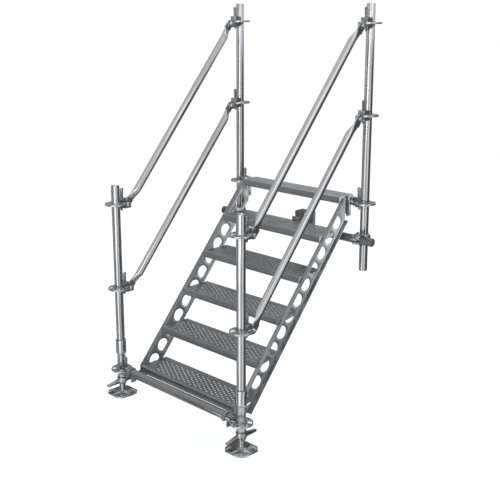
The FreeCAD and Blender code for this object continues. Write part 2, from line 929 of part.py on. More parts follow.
def build():
    sides = (("left", 0, -1), ("right", bay_width, 1))
    for name, across, side in sides:
        base_jack(f"{name}_base_jack", across)
        wing_nut(f"{name}_wing_nut", across)
        base_collar(f"{name}_base_collar", across)
        post(f"{name}_front_post", across, 0, collar_top, front_post_length)
        post(f"{name}_rear_post", across, bay_length, rear_post_foot, rear_post_length)
        rosettes(f"{name}_collar_rosette", across, 0, [0])
        rosettes(f"{name}_front_rosettes", across, 0, [ring_pitch, 2 * ring_pitch])
        rear_levels = [ring_pitch * number for number in (2, 3, 4)]
        rosettes(f"{name}_rear_rosettes", across, bay_length, rear_levels)
        heads = {"front": [], "rear": []}
        wedges = []
        for number, place in ((1, "upper"), (0, "lower")):
            low_level = ring_pitch * (number + 1)
            high_level = ring_pitch * (number + 3)
            rail(f"{name}_{place}_rail", across, side, low_level)
            ends = (
                ("front", 0, low_level, 90, -side),
                ("rear", bay_length, high_level, -90, side),
            )
            for end, back, level, degrees, outward in ends:
                heads[end].append(placed(rail_head(outward), across, back, level, degrees))
                wedges.append(placed(wedge(), across, back, level, degrees))
        for end, pieces in heads.items():
            group(f"{name}_{end}_rail_heads", pieces)
        group(f"{name}_rail_wedges", wedges)
        stringer(f"{name}_stringer", side)
        coupler(f"{name}_coupler", across)
    ledgers = (("front", 0, 0), ("rear", bay_length, rear_ledger_level))
    for name, back, level in ledgers:
        ledger(f"{name}_ledger", back, level)
        pair = [
            placed(wedge(), 0, back, level, 0),
            placed(wedge(), bay_width, back, level, 180),
        ]
        group(f"{name}_ledger_wedges", pair)
    for number in range(step_count):
        front = first_front + number * going
        top = first_top + number * rise
        step(f"tread_{number + 1}", tread_depth, tread_depth - tread_sheet, front, top)
    landing_front = first_front + step_count * going
    step("top_step", landing_depth, landing_end_depth, landing_front, landing_top)
    left_web = flight_left - stringer_sheet
    right_web = flight_right + stringer_sheet
    right_plate = -right_web - hook_plate_thick
    front_hook("left_front_hook", -left_web, hook_wide - left_web, -left_web)
    front_hook("right_front_hook", -right_web - hook_wide, -right_web, right_plate)
    left_end_plate = flight_left - end_plate_wide + end_plate_lap
    right_end_plate = flight_right - end_plate_lap
    rear_hook("left_rear_hook", left_web - hook_wide, left_web, left_end_plate)
    rear_hook("right_rear_hook", right_web, right_web + hook_wide, right_end_plate)
    tie = tube_body("tie_tube", tie_length, tube_radius, tube_bore)
    keep(tie, "tie_tube", -tie_past, tie_front, tie_level, TO_X)
    tie_caps()
    bracket_clamp()
    wall_bracket()


def check_and_write():
    doc.recompute()
    for thing in doc.Objects:
        for mark in ("Invalid", "Error"):
            if mark in thing.State:
                raise RuntimeError(f"{thing.Name} ({thing.Label}) is {mark}")
    for thing in subparts:
        if thing.Shape.isNull() or not thing.Shape.isValid():
            raise RuntimeError(f"{thing.Label} has no sound shape")
    os.makedirs("parts", exist_ok=True)
    for thing in subparts:
        thing.Shape.exportStep(f"parts/{thing.Label}.step")
        print(thing.Label, len(thing.Shape.Solids), round(thing.Shape.Volume / 1000, 1))


build()
check_and_write()
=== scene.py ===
import json
import math

import bmesh
import bpy
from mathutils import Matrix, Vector

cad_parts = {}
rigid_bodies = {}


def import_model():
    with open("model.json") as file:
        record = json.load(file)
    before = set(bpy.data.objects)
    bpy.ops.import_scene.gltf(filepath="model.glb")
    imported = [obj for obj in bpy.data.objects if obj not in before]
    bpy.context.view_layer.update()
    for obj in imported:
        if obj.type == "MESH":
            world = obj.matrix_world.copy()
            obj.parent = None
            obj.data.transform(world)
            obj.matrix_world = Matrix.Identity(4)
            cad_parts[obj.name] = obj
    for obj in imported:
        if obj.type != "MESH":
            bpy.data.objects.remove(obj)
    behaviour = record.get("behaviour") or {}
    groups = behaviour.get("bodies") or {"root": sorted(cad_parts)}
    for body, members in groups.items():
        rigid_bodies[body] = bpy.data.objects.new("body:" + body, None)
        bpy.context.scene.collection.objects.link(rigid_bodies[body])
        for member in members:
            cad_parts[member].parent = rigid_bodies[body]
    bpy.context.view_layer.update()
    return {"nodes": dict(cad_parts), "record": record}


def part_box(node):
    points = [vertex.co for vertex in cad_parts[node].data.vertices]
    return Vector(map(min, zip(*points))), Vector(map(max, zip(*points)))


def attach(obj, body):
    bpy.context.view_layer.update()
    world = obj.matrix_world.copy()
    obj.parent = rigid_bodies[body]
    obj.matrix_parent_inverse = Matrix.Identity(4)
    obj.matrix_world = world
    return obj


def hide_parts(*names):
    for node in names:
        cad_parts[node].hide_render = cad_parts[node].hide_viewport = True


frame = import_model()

NODES = frame["nodes"]

# Places in the bay are counted in millimetres from the left front post's axis at its lowest
# rosette, as a scaffolder would measure them.
BRACKET_FACE = Vector((545.0, 1050.0, 796.0))
POST_X = {"left": 0.0, "right": 1000.0}
BAY_DEPTH = 1000.0
ROSETTE_LEVELS = {"collar": (0,), "front": (500, 1000), "rear": (1000, 1500, 2000)}
ROSETTE_HALF = 4.75
WELD_RISE = 0.6
LEDGER_PLACES = ((0.0, 0), (BAY_DEPTH, 1000))
LEDGER_WELDS = (74.5, 925.5)
TIE_DEPTH = 947.0
TIE_LEVEL = BRACKET_FACE.z

# The jacks: their spindles' ends, their feet, and how far they wind out of the posts.
SPINDLE_TOP = 353.0
SPINDLE_FOOT = -146.9
FEET_LEVEL = -153.0
JACK_REACH = 200.0

# The guardrails' pivot bolts, counted from the axis of a post at a rosette.
PIVOT_DEPTH = 82.0
PIVOT_DROP = 14.0
PIVOT_HEAD_FACE, PIVOT_HEAD_SIZE = 8.0, 13.0
PIVOT_NUT_FACE, PIVOT_NUT_SIZE = 9.3, 9.5

# The couplers' bolts, counted from the axis of the tube that each half clamps.
COUPLER_BOLT = 42.0
COUPLER_LUG_FACE = 7.0
COUPLER_BOLT_SIZE = 10.0

# The bracket clamp's two bolts over the tie tube, and the nuts on the wall plate's anchors.
CLAMP_BOLT_X = (508.0, 534.0)
CLAMP_BOLT_BACK, CLAMP_BOLT_RISE = 14.0, 44.0
CLAMP_NUT_SIZE = 8.0
ANCHOR_ACROSS, ANCHOR_RISE = 28.0, 57.5
PLATE_THICKNESS = 6.0
ANCHOR_NUT_SIZE = 9.0

# Sizes from here on are metres in the model. The steps' sheet and its punched field:
SHEET = 0.0025
BEND = 0.003
HOLE_PITCH = 0.026
HOLE_RADIUS = 0.0055
SIDE_MARGINS = 0.04

# The jacks' thread:
THREAD_PITCH = 0.008
THREAD_CREST = 0.01895
THREAD_DEPTH = 0.0018
SPINDLE_BORE = 0.014
SPINDLE_SIDES = 32
ROWS_PER_TURN = 8

# How far forging, pressing and zinc round the edges of each kind of piece:
FORGED_EDGE = 0.0016
WING_NUT_EDGE = 0.0015
LEDGER_EDGE = 0.0012
SHEET_EDGE = 0.0009
PRESSED_EDGE = 0.0008
TUBE_EDGE = 0.0005

SAME_PLACE = 0.00001
ON_THE_BEND = 0.0001
RELIEF_DEPTH = 0.0006

# The studio: reflection cards stand round the middle of the set.
SET_MIDDLE = (0.0, -0.5, 0.1)
CARD_REACH = 4.0
CARD_PANELS = 24
FLOOR_REACH = 14
FLOOR_GREY = 0.6
FLOOR_GLOW = 0.76
ROOM_LEVEL = 0.42


def at(x, y, z):
    """Millimetres in the bay to metres in the model."""
    return (Vector((x, y, z)) - BRACKET_FACE) / 1000


def node(tree, kind, **settings):
    """Adds a node with its settings to a tree."""
    made = tree.nodes.new(kind)
    for name, value in settings.items():
        setattr(made, name, value)
    return made


def plug(tree, source, target):
    """Joins an output to an input."""
    tree.links.new(source, target)


def worked(tree, operation, *terms, **settings):
    """A sum whose terms are outputs of other nodes or plain numbers."""
    made = node(tree, "ShaderNodeMath", operation=operation, **settings)
    for socket, term in zip(made.inputs, terms):
        if isinstance(term, float):
            socket.default_value = term
        else:
            plug(tree, term, socket)
    return made.outputs[0]


def zinc_bloom():
    """Hot-dip zinc: crystal flakes, cloudy patches and faint runs down the metal."""
    group = bpy.data.node_groups.new("Zinc bloom", "ShaderNodeTree")
    for name, kind, start in (
        ("Light", "NodeSocketColor", (0.7, 0.71, 0.72, 1)),
        ("Dark", "NodeSocketColor", (0.4, 0.42, 0.44, 1)),
        ("Flake size", "NodeSocketFloat", 120.0),
        ("Flake strength", "NodeSocketFloat", 0.25),
        ("Cloud size", "NodeSocketFloat", 9.0),
        ("Run strength", "NodeSocketFloat", 0.2),
        ("Roughness", "NodeSocketFloat", 0.35),
        ("Flake gloss", "NodeSocketFloat", 0.1),
        ("Cloud gloss", "NodeSocketFloat", -0.2),
    ):
        socket = group.interface.new_socket(name=name, in_out="INPUT", socket_type=kind)
        socket.default_value = start
    for name, kind in (("Color", "NodeSocketColor"), ("Roughness", "NodeSocketFloat"),
                       ("Height", "NodeSocketFloat")):
        group.interface.new_socket(name=name, in_out="OUTPUT", socket_type=kind)
    enter = node(group, "NodeGroupInput")
    leave = node(group, "NodeGroupOutput")
    place = node(group, "ShaderNodeTexCoord")
    flakes = node(group, "ShaderNodeTexVoronoi", feature="F1")
    flakes.inputs["Randomness"].default_value = 1.0
    plug(group, place.outputs["Object"], flakes.inputs["Vector"])
    plug(group, enter.outputs["Flake size"], flakes.inputs["Scale"])
    tone = node(group, "ShaderNodeSeparateColor")
    plug(group, flakes.outputs["Color"], tone.inputs["Color"])
    clouds = node(group, "ShaderNodeTexNoise")
    clouds.inputs["Detail"].default_value = 5.0
    clouds.inputs["Roughness"].default_value = 0.6
    plug(group, place.outputs["Object"], clouds.inputs["Vector"])
    plug(group, enter.outputs["Cloud size"], clouds.inputs["Scale"])
    stretch = node(group, "ShaderNodeMapping")
    stretch.inputs["Scale"].default_value = (90.0, 90.0, 3.0)
    plug(group, place.outputs["Object"], stretch.inputs["Vector"])
    runs = node(group, "ShaderNodeTexNoise")
    runs.inputs["Scale"].default_value = 1.0
    runs.inputs["Detail"].default_value = 3.0
    plug(group, stretch.outputs["Vector"], runs.inputs["Vector"])

    def centred(source, strength):
        """A pattern swung about nought by so much."""
        return worked(group, "MULTIPLY", worked(group, "SUBTRACT", source, 0.5), strength)

    flake_part = centred(tone.outputs[0], enter.outputs["Flake strength"])
    run_part = centred(runs.outputs["Fac"], enter.outputs["Run strength"])
    cloud_part = centred(clouds.outputs["Fac"], 1.6)
    mixed = worked(group, "ADD", worked(group, "ADD", flake_part, run_part), cloud_part)
    blend = node(group, "ShaderNodeMix", data_type="RGBA")
    plug(group, worked(group, "ADD", mixed, 0.5, use_clamp=True), blend.inputs["Factor"])
    plug(group, enter.outputs["Dark"], blend.inputs["A"])
    plug(group, enter.outputs["Light"], blend.inputs["B"])
    plug(group, blend.outputs["Result"], leave.inputs["Color"])
    rough_flakes = centred(tone.outputs[1], enter.outputs["Flake gloss"])
    rough_clouds = centred(clouds.outputs["Fac"], enter.outputs["Cloud gloss"])
    rough = worked(group, "ADD", worked(group, "ADD", rough_flakes, rough_clouds),
                   enter.outputs["Roughness"])
    plug(group, rough, leave.inputs["Roughness"])
    plug(group, clouds.outputs["Fac"], leave.inputs["Height"])
    return group


ZINC_BLOOM = zinc_bloom()


def bare_material(name):
    """A material with nothing in its tree but the output."""
    material = bpy.data.materials.new(name)
    material.use_nodes = True
    tree = material.node_tree
    tree.nodes.clear()
    return material, tree, node(tree, "ShaderNodeOutputMaterial")


def zinc(name, light, dark, roughness, metallic=1.0, flake_size=120.0, flake_strength=0.25,
         cloud_size=9.0, run_strength=0.2, flake_gloss=0.08, cloud_gloss=-0.2, bump=0.15):
    """A galvanised finish that drifts between a light and a dark tone."""
    material, tree, out = bare_material(name)
    metal = node(tree, "ShaderNodeBsdfPrincipled")
    metal.inputs["Metallic"].default_value = metallic
    plug(tree, metal.outputs[0], out.inputs["Surface"])
    bloom = node(tree, "ShaderNodeGroup", node_tree=ZINC_BLOOM)
    for label, value in (
        ("Light", (*light, 1)), ("Dark", (*dark, 1)),
        ("Flake size", flake_size), ("Flake strength", flake_strength),
        ("Cloud size", cloud_size), ("Run strength", run_strength),
        ("Roughness", roughness), ("Flake gloss", flake_gloss), ("Cloud gloss", cloud_gloss),
    ):
        bloom.inputs[label].default_value = value
    plug(tree, bloom.outputs["Color"], metal.inputs["Base Color"])
    plug(tree, bloom.outputs["Roughness"], metal.inputs["Roughness"])
    relief = node(tree, "ShaderNodeBump")
    relief.inputs["Strength"].default_value = bump
    relief.inputs["Distance"].default_value = RELIEF_DEPTH
    plug(tree, bloom.outputs["Height"], relief.inputs["Height"])
    plug(tree, relief.outputs["Normal"], metal.inputs["Normal"])
    return material


SMOOTH_TUBE = {"flake_size": 160.0, "flake_strength": 0.03, "cloud_size": 5.0,
               "run_strength": 0.15, "flake_gloss": 0.0, "cloud_gloss": -0.08, "bump": 0.0}
TUBE_ZINC = zinc("Bright galvanised tube", (0.5, 0.515, 0.53), (0.38, 0.395, 0.41), 0.185,
                 **SMOOTH_TUBE)
# The ledgers' metal is the bright tube metal made darker: painted shade for the tubes that lie
# under the steps' noses and hooks. It is also a little rougher.
SHADED_LEDGER_ZINC = zinc("Galvanised tube with painted shade", (0.33, 0.345, 0.355), (0.23, 0.24, 0.25), 0.24,
                   **SMOOTH_TUBE)
FORGED_ZINC = zinc("Galvanised forging", (0.5, 0.515, 0.53), (0.27, 0.285, 0.3), 0.3,
                   flake_size=260.0, flake_strength=0.1, cloud_size=30.0, bump=0.25)
STAIR_ZINC = zinc("Dull galvanised sheet", (0.31, 0.33, 0.345), (0.205, 0.22, 0.232), 0.42,
                  flake_size=110.0, flake_strength=0.15, cloud_size=7.0, bump=0.04)
JACK_ZINC = zinc("Galvanised jack", (0.42, 0.435, 0.45), (0.24, 0.255, 0.27), 0.28,
                 flake_size=180.0, flake_strength=0.1, cloud_size=20.0, bump=0.1)
# The tie tube's metal is far darker all over than the other tubes: painted shade for the tube
# under the stair's top end.
SHADED_TIE_ZINC = zinc("Tie tube with painted shade", (0.17, 0.18, 0.187), (0.085, 0.092, 0.097), 0.45,
                cloud_size=24.0, bump=0.15)
BRACKET_ZINC = zinc("Dull galvanised bracket", (0.36, 0.375, 0.387), (0.22, 0.23, 0.238), 0.5,
                    metallic=0.8, cloud_size=20.0, bump=0.15)
BOLT_ZINC = zinc("Bright plated bolt", (0.62, 0.63, 0.62), (0.46, 0.47, 0.46), 0.26,
                 flake_size=400.0, flake_strength=0.08, cloud_size=60.0, bump=0.1)
WELD_ZINC = zinc("Zinc over weld", (0.42, 0.435, 0.45), (0.24, 0.255, 0.27), 0.34,
                 flake_size=500.0, flake_strength=0.1, cloud_size=90.0, bump=0.3)

SLOT_METAL = {"tube": TUBE_ZINC, "forged": FORGED_ZINC, "stair": STAIR_ZINC, "jack": JACK_ZINC}
NODE_SLOT = {entry["node"]: entry["material_slot"] for entry in frame["record"]["subparts"]}


def linked(name, mesh):
    """Puts a mesh into the scene as an object at the origin."""
    thing = bpy.data.objects.new(name, mesh)
    bpy.context.scene.collection.objects.link(thing)
    return thing


def made_from(name, work):
    """Turns a mesh under work into an object."""
    mesh = bpy.data.meshes.new(name)
    work.to_mesh(mesh)
    work.free()
    return linked(name, mesh)


def merged_copy(name, source):
    """A copy of a CAD node as one closed mesh with flat faces joined up."""
    work = bmesh.new()
    work.from_mesh(source.data)
    bmesh.ops.remove_doubles(work, verts=work.verts, dist=SAME_PLACE)
    bmesh.ops.dissolve_limit(work, angle_limit=math.radians(0.5), verts=work.verts,
                             edges=work.edges)
    return made_from(name, work)


def with_its_modifiers(thing):
    """A plain mesh of an object as its modifiers leave it."""
    bpy.context.view_layer.update()
    ready = thing.evaluated_get(bpy.context.evaluated_depsgraph_get())
    return bpy.data.meshes.new_from_object(ready)


def set_input(modifier, tree, label, value):
    """Sets a tree's input by its socket's identifier, found from its label."""
    for item in tree.interface.items_tree:
        if item.item_type == "SOCKET" and item.in_out == "INPUT" and item.name == label:
            modifier[item.identifier] = value
            return
    raise KeyError(label)


def grown(name, carrier, tree, **inputs):
    """Runs a geometry tree on a carrier object and keeps the result as a plain mesh."""
    modifier = carrier.modifiers.new("Grow", "NODES")
    modifier.node_group = tree
    for label, value in inputs.items():
        set_input(modifier, tree, label.replace("_", " "), value)
    mesh = with_its_modifiers(carrier)
    mesh.name = name
    thing = linked(name, mesh)
    bpy.data.objects.remove(carrier)
    return thing


def new_tree(name, *inputs):
    """A geometry tree with named inputs, each a label, a kind of socket and a first value."""
    tree = bpy.data.node_groups.new(name, "GeometryNodeTree")
    tree.interface.new_socket(name="Geometry", in_out="INPUT",
                              socket_type="NodeSocketGeometry")
    for label, kind, start in inputs:
        socket = tree.interface.new_socket(name=label, in_out="INPUT", socket_type=kind)
        if start is not None:
            socket.default_value = start
    tree.interface.new_socket(name="Geometry", in_out="OUTPUT",
                              socket_type="NodeSocketGeometry")
    return tree, node(tree, "NodeGroupInput"), node(tree, "NodeGroupOutput")


def fitted(thing, metal, body="frame", replaced=(), smooth=None):
    """Finishes a new piece: its metal and the body it rides on."""
    thing.data.materials.clear()
    thing.data.materials.append(metal)
    for face in thing.data.polygons:
        face.material_index = 0
    if smooth is not None:
        thing.data.shade_smooth()
        thing.data.set_sharp_from_angle(angle=math.radians(smooth))
    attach(thing, body)
    if replaced:
        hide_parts(*replaced)
    return thing


def punched_sheet_tree():
    """Cuts a staggered field of round holes through the top sheet of a step."""
    tree, enter, leave = new_tree(
        "Punched sheet",
        ("Field centre", "NodeSocketVector", None),
        ("Field width", "NodeSocketFloat", 0.7),
        ("Field depth", "NodeSocketFloat", 0.15),
        ("Columns", "NodeSocketInt", 40),
        ("Rows", "NodeSocketInt", 10),
        ("Stagger", "NodeSocketFloat", 0.013),
        ("Hole radius", "NodeSocketFloat", 0.004),
        ("Metal", "NodeSocketMaterial", None),
    )
    grid = node(tree, "GeometryNodeMeshGrid")
    plug(tree, enter.outputs["Field width"], grid.inputs["Size X"])
    plug(tree, enter.outputs["Field depth"], grid.inputs["Size Y"])
    plug(tree, enter.outputs["Columns"], grid.inputs["Vertices X"])
    plug(tree, enter.outputs["Rows"], grid.inputs["Vertices Y"])
    # The grid counts its points column by column, and every other column steps back.
    index = node(tree, "GeometryNodeInputIndex")
    column = worked(tree, "FLOOR",
                    worked(tree, "DIVIDE", index.outputs[0], enter.outputs["Rows"]))
    step_back = worked(tree, "MULTIPLY", worked(tree, "MODULO", column, 2.0),
                       enter.outputs["Stagger"])
    offset = node(tree, "ShaderNodeCombineXYZ")
    plug(tree, step_back, offset.inputs["Y"])
    total = node(tree, "ShaderNodeVectorMath", operation="ADD")
    plug(tree, offset.outputs[0], total.inputs[0])
    plug(tree, enter.outputs["Field centre"], total.inputs[1])
    shifted = node(tree, "GeometryNodeSetPosition")
    plug(tree, grid.outputs["Mesh"], shifted.inputs["Geometry"])
    plug(tree, total.outputs[0], shifted.inputs["Offset"])
    punch = node(tree, "GeometryNodeMeshCylinder")
    punch.inputs["Vertices"].default_value = 10
    punch.inputs["Depth"].default_value = 0.008
    plug(tree, enter.outputs["Hole radius"], punch.inputs["Radius"])
    spread = node(tree, "GeometryNodeInstanceOnPoints")
    plug(tree, shifted.outputs[0], spread.inputs["Points"])
    plug(tree, punch.outputs["Mesh"], spread.inputs["Instance"])
    real = node(tree, "GeometryNodeRealizeInstances")
    plug(tree, spread.outputs[0], real.inputs[0])
    cut = node(tree, "GeometryNodeMeshBoolean", operation="DIFFERENCE", solver="MANIFOLD")
    plug(tree, enter.outputs["Geometry"], cut.inputs["Mesh 1"])
    plug(tree, real.outputs[0], cut.inputs["Mesh 2"])
    coat = node(tree, "GeometryNodeSetMaterial")
    plug(tree, cut.outputs["Mesh"], coat.inputs["Geometry"])
    plug(tree, enter.outputs["Metal"], coat.inputs["Material"])
    plug(tree, coat.outputs[0], leave.inputs[0])
    return tree


def small_parts_tree():
    """Copies a small part to every point, turned so that its Z follows the point's axis."""
    tree, enter, leave = new_tree(
        "Set out small parts",
        ("Small part", "NodeSocketObject", None),
        ("Metal", "NodeSocketMaterial", None),
    )
    axis = node(tree, "GeometryNodeInputNamedAttribute", data_type="FLOAT_VECTOR")
    axis.inputs["Name"].default_value = "axis"
    turned = node(tree, "FunctionNodeAlignRotationToVector", axis="Z")
    plug(tree, axis.outputs["Attribute"], turned.inputs["Vector"])
    size = node(tree, "GeometryNodeInputNamedAttribute", data_type="FLOAT")
    size.inputs["Name"].default_value = "size"
    part = node(tree, "GeometryNodeObjectInfo")
    plug(tree, enter.outputs["Small part"], part.inputs["Object"])
    spread = node(tree, "GeometryNodeInstanceOnPoints")
    plug(tree, enter.outputs["Geometry"], spread.inputs["Points"])
    plug(tree, part.outputs["Geometry"], spread.inputs["Instance"])
    plug(tree, turned.outputs["Rotation"], spread.inputs["Rotation"])
    plug(tree, size.outputs["Attribute"], spread.inputs["Scale"])
    real = node(tree, "GeometryNodeRealizeInstances")
    plug(tree, spread.outputs[0], real.inputs[0])
    coat = node(tree, "GeometryNodeSetMaterial")
    plug(tree, real.outputs[0], coat.inputs["Geometry"])
    plug(tree, enter.outputs["Metal"], coat.inputs["Material"])
    plug(tree, coat.outputs[0], leave.inputs[0])
    return tree


PUNCHED_SHEET = punched_sheet_tree()
SMALL_PARTS = small_parts_tree()


def softened(name, width, metal=None, body="frame"):
    """A CAD piece with its sharp edges rounded over, as forging and zinc leave them."""
    rough = merged_copy(name + "_sharp", NODES[name])
    rough.data.shade_smooth()
    rounding = rough.modifiers.new("Rounded edges", "BEVEL")
    rounding.width = width
    rounding.segments = 2
    rounding.limit_method = "ANGLE"
    rounding.angle_limit = math.radians(35)
    rounding.harden_normals = True
    piece = linked(name + "_finished", with_its_modifiers(rough))
    bpy.data.objects.remove(rough)
    slot = NODE_SLOT[name]
    return fitted(piece, metal or SLOT_METAL[slot], body=body, replaced=(name,))


def set_out(name, spots, pattern, metal, smooth):
    """Sets copies of a pattern at spots, each a place, an axis and a size in millimetres."""
    mesh = bpy.data.meshes.new(name + "_spots")
    mesh.from_pydata([at(*place) for place, _axis, _size in spots], [], [])
    mesh.attributes.new("axis", "FLOAT_VECTOR", "POINT")
    mesh.attributes.new("size", "FLOAT", "POINT")
    for number, (_place, axis, size) in enumerate(spots):
        mesh.attributes["axis"].data[number].vector = axis
        mesh.attributes["size"].data[number].value = size / 1000
    carrier = linked(name + "_spots", mesh)
    piece = grown(name, carrier, SMALL_PARTS, Small_part=pattern, Metal=metal)
    return fitted(piece, metal, smooth=smooth)


def turn(number, count):
    """The angle of one of so many equal steps round a circle."""
    return 2 * math.pi * number / count


def vertex_ring(work, centre, radius, height, sides):
    """A level ring of vertices round an upright axis."""
    return [work.verts.new((centre[0] + radius * math.cos(turn(number, sides)),
                            centre[1] + radius * math.sin(turn(number, sides)), height))
            for number in range(sides)]


def lathe(name, profile, sides):
    """A closed solid turned from (radius, height) pairs that run from the axis to the axis."""
    work = bmesh.new()
    rings = []
    for radius, height in profile:
        if radius == 0:
            rings.append([work.verts.new((0, 0, height))])
        else:
            rings.append(vertex_ring(work, (0, 0), radius, height, sides))
    for low, high in zip(rings, rings[1:]):
        for number in range(sides):
            after = (number + 1) % sides
            corners = []
            for ring, picks in ((low, (number, after)), (high, (after, number))):
                if len(ring) == 1:
                    corners.append(ring[0])
                else:
                    corners.extend(ring[pick] for pick in picks)
            if len(corners) > 2:
                work.faces.new(corners)
    bmesh.ops.recalc_face_normals(work, faces=work.faces)
    return made_from(name, work)


def hex_nut():
    """A chamfered nut with its bolt end standing out; its washer face is one unit in radius."""
    return lathe("nut_pattern", [(0, 0), (1.0, 0), (1.12, 0.1), (1.12, 0.75), (0.95, 0.9),
                                 (0.62, 0.9), (0.62, 1.35), (0.5, 1.45), (0, 1.45)], 6)


def round_head():
    """A domed bolt head one unit in radius."""
    return lathe("head_pattern", [(0, 0), (1.0, 0), (1.0, 0.22), (0.86, 0.42), (0.5, 0.56),
                                  (0, 0.6)], 20)


def weld_bead(name, radius, thick):
    """A rippled bead round a tube, drawn with a unit for each millimetre."""
    work = bmesh.new()
    around = 64
    section = 6
    rings = []
    for number in range(around):
        angle = turn(number, around)
        swell = thick * (1 + 0.16 * math.sin(number * 2.9) + 0.1 * math.sin(number * 1.3))
        ring = []
        for corner in range(section):
            reach = radius + swell * math.cos(turn(corner, section))
            ring.append(work.verts.new((reach * math.cos(angle), reach * math.sin(angle),
                                        swell * math.sin(turn(corner, section)))))
        rings.append(ring)
    for number in range(around):
        ring, after = rings[number], rings[(number + 1) % around]
        for corner in range(section):
            nearby = (corner + 1) % section
            work.faces.new((ring[corner], after[corner], after[nearby], ring[nearby]))
    bmesh.ops.recalc_face_normals(work, faces=work.faces)
    return made_from(name, work)


def fold_nose(mesh, low, high):
    """Rounds the two long bends along a step's nose."""
    work = bmesh.new()
    work.from_mesh(mesh)
    bends = []
    for edge in work.edges:
        if edge.calc_length() < 0.9 * (high.x - low.x):
            continue
        front = all(abs(vert.co.y - low.y) < ON_THE_BEND for vert in edge.verts)
        top = all(abs(vert.co.z - high.z) < ON_THE_BEND for vert in edge.verts)
        foot = all(abs(vert.co.z - low.z) < ON_THE_BEND for vert in edge.verts)
        if front and (top or foot):
            bends.append(edge)
    bmesh.ops.bevel(work, geom=bends, offset=BEND, segments=3, affect="EDGES", profile=0.5)
    work.to_mesh(mesh)
    work.free()


def punched_step(name, nose, rows):
    """A step's own sheet with a close-packed field of holes that starts behind its nose."""
    low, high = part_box(name)
    across = HOLE_PITCH * math.sqrt(0.75)
    columns = int((high.x - low.x - SIDE_MARGINS) / across)
    depth = (rows - 1) * HOLE_PITCH
    centre = Vector(((low.x + high.x) / 2, low.y + nose + depth / 2, high.z - SHEET / 2))
    carrier = merged_copy(name + "_sheet", NODES[name])
    fold_nose(carrier.data, low, high)
    piece = grown(
        name + "_punched", carrier, PUNCHED_SHEET,
        Field_centre=centre, Field_width=(columns - 1) * across, Field_depth=depth,
        Columns=columns, Rows=rows, Stagger=HOLE_PITCH / 2, Hole_radius=HOLE_RADIUS,
        Metal=STAIR_ZINC,
    )
    return fitted(piece, STAIR_ZINC, replaced=(name,), smooth=30)


def screw_spindle(name, source, top, foot):
    """The jack's foot plate with a coarse round thread cut in its spindle."""
    work = bmesh.new()
    work.from_mesh(source.data)
    bmesh.ops.remove_doubles(work, verts=work.verts, dist=SAME_PLACE)
    plain_end = [vert for vert in work.verts if vert.co.z > top.z - 0.001]
    bmesh.ops.delete(work, geom=plain_end, context="VERTS")
    length = top.z - foot.z
    rows = int(length / THREAD_PITCH * ROWS_PER_TURN)
    rings = []
    for row in range(rows + 1):
        height = length * row / rows
        ring = []
        for number in range(SPINDLE_SIDES):
            share = (height / THREAD_PITCH - number / SPINDLE_SIDES) % 1.0
            # A narrow flat crest, sloping flanks and a wider root.
            wave = min(1.0, max(0.0, 1.6 * abs(share - 0.5) * 2 - 0.2))
            radius = THREAD_CREST - THREAD_DEPTH * wave
            angle = turn(number, SPINDLE_SIDES)
            ring.append(work.verts.new((foot.x + radius * math.cos(angle),
                                        foot.y + radius * math.sin(angle), foot.z + height)))
        rings.append(ring)
    bore = [vertex_ring(work, foot, SPINDLE_BORE, foot.z + height, SPINDLE_SIDES)
            for height in (0.0, length)]
    layers = [bore[0]] + rings + [bore[1], bore[0]]
    new_faces = []
    for low, high in zip(layers, layers[1:]):
        for number in range(SPINDLE_SIDES):
            after = (number + 1) % SPINDLE_SIDES
            new_faces.append(work.faces.new((low[number], low[after],
                                             high[after], high[number])))
    bmesh.ops.recalc_face_normals(work, faces=new_faces)
    return made_from(name, work)


for number in range(1, 6):
    punched_step(f"tread_{number}", nose=0.036, rows=5)
punched_step("top_step", nose=0.03, rows=3)

for side, x in POST_X.items():
    jack = screw_spindle(f"{side}_screw_jack", NODES[f"{side}_base_jack"],
                         at(x, 0, SPINDLE_TOP), at(x, 0, SPINDLE_FOOT))
    fitted(jack, JACK_ZINC, body=f"{side}_jack", replaced=(f"{side}_base_jack",),
           smooth=40)

for side in POST_X:
    for part in ("front_rail_heads", "rear_rail_heads", "coupler"):
        softened(f"{side}_{part}", FORGED_EDGE)
    for part in ("collar_rosette", "front_rosettes", "rear_rosettes", "rail_wedges"):
        softened(f"{side}_{part}", PRESSED_EDGE)
    for part in ("front_hook", "rear_hook", "stringer"):
        softened(f"{side}_{part}", SHEET_EDGE)
    softened(f"{side}_wing_nut", WING_NUT_EDGE, body=f"{side}_nut")
for part in ("front_ledger_wedges", "rear_ledger_wedges"):
    softened(part, PRESSED_EDGE)
# The ledgers take the darker tube metal with its painted shade.
for part in ("front_ledger", "rear_ledger"):
    softened(part, LEDGER_EDGE, SHADED_LEDGER_ZINC)
for part in ("bracket_clamp", "wall_bracket", "tie_caps"):
    softened(part, SHEET_EDGE, BRACKET_ZINC)
for part in ("front_post", "rear_post", "upper_rail", "lower_rail", "base_collar"):
    for side in POST_X:
        softened(f"{side}_{part}", TUBE_EDGE)
# The tie tube takes the dark metal with its painted shade.
softened("tie_tube", TUBE_EDGE, SHADED_TIE_ZINC)

UP, DOWN = (0, 0, 1), (0, 0, -1)
FORWARD, BACK = (0, -1, 0), (0, 1, 0)
RIGHT = (1, 0, 0)
POST_BEAD = weld_bead("post_weld_pattern", 25.2, 1.9)
LEDGER_BEAD = weld_bead("ledger_weld_pattern", 24.6, 2.0)
NUT = hex_nut()
HEAD = round_head()

rosette_welds = []
for x in POST_X.values():
    for kind, y in (("collar", 0), ("front", 0), ("rear", BAY_DEPTH)):
        for level in ROSETTE_LEVELS[kind]:
            for above in (-1, 1):
                weld_level = level + above * (ROSETTE_HALF + WELD_RISE)
                rosette_welds.append(((x, y, weld_level), UP, 1.0))
set_out("rosette_welds", rosette_welds, POST_BEAD, WELD_ZINC, smooth=180)

ledger_welds = [((x, y, level), RIGHT, 1.0) for y, level in LEDGER_PLACES
                for x in LEDGER_WELDS]
set_out("ledger_welds", ledger_welds, LEDGER_BEAD, WELD_ZINC, smooth=180)

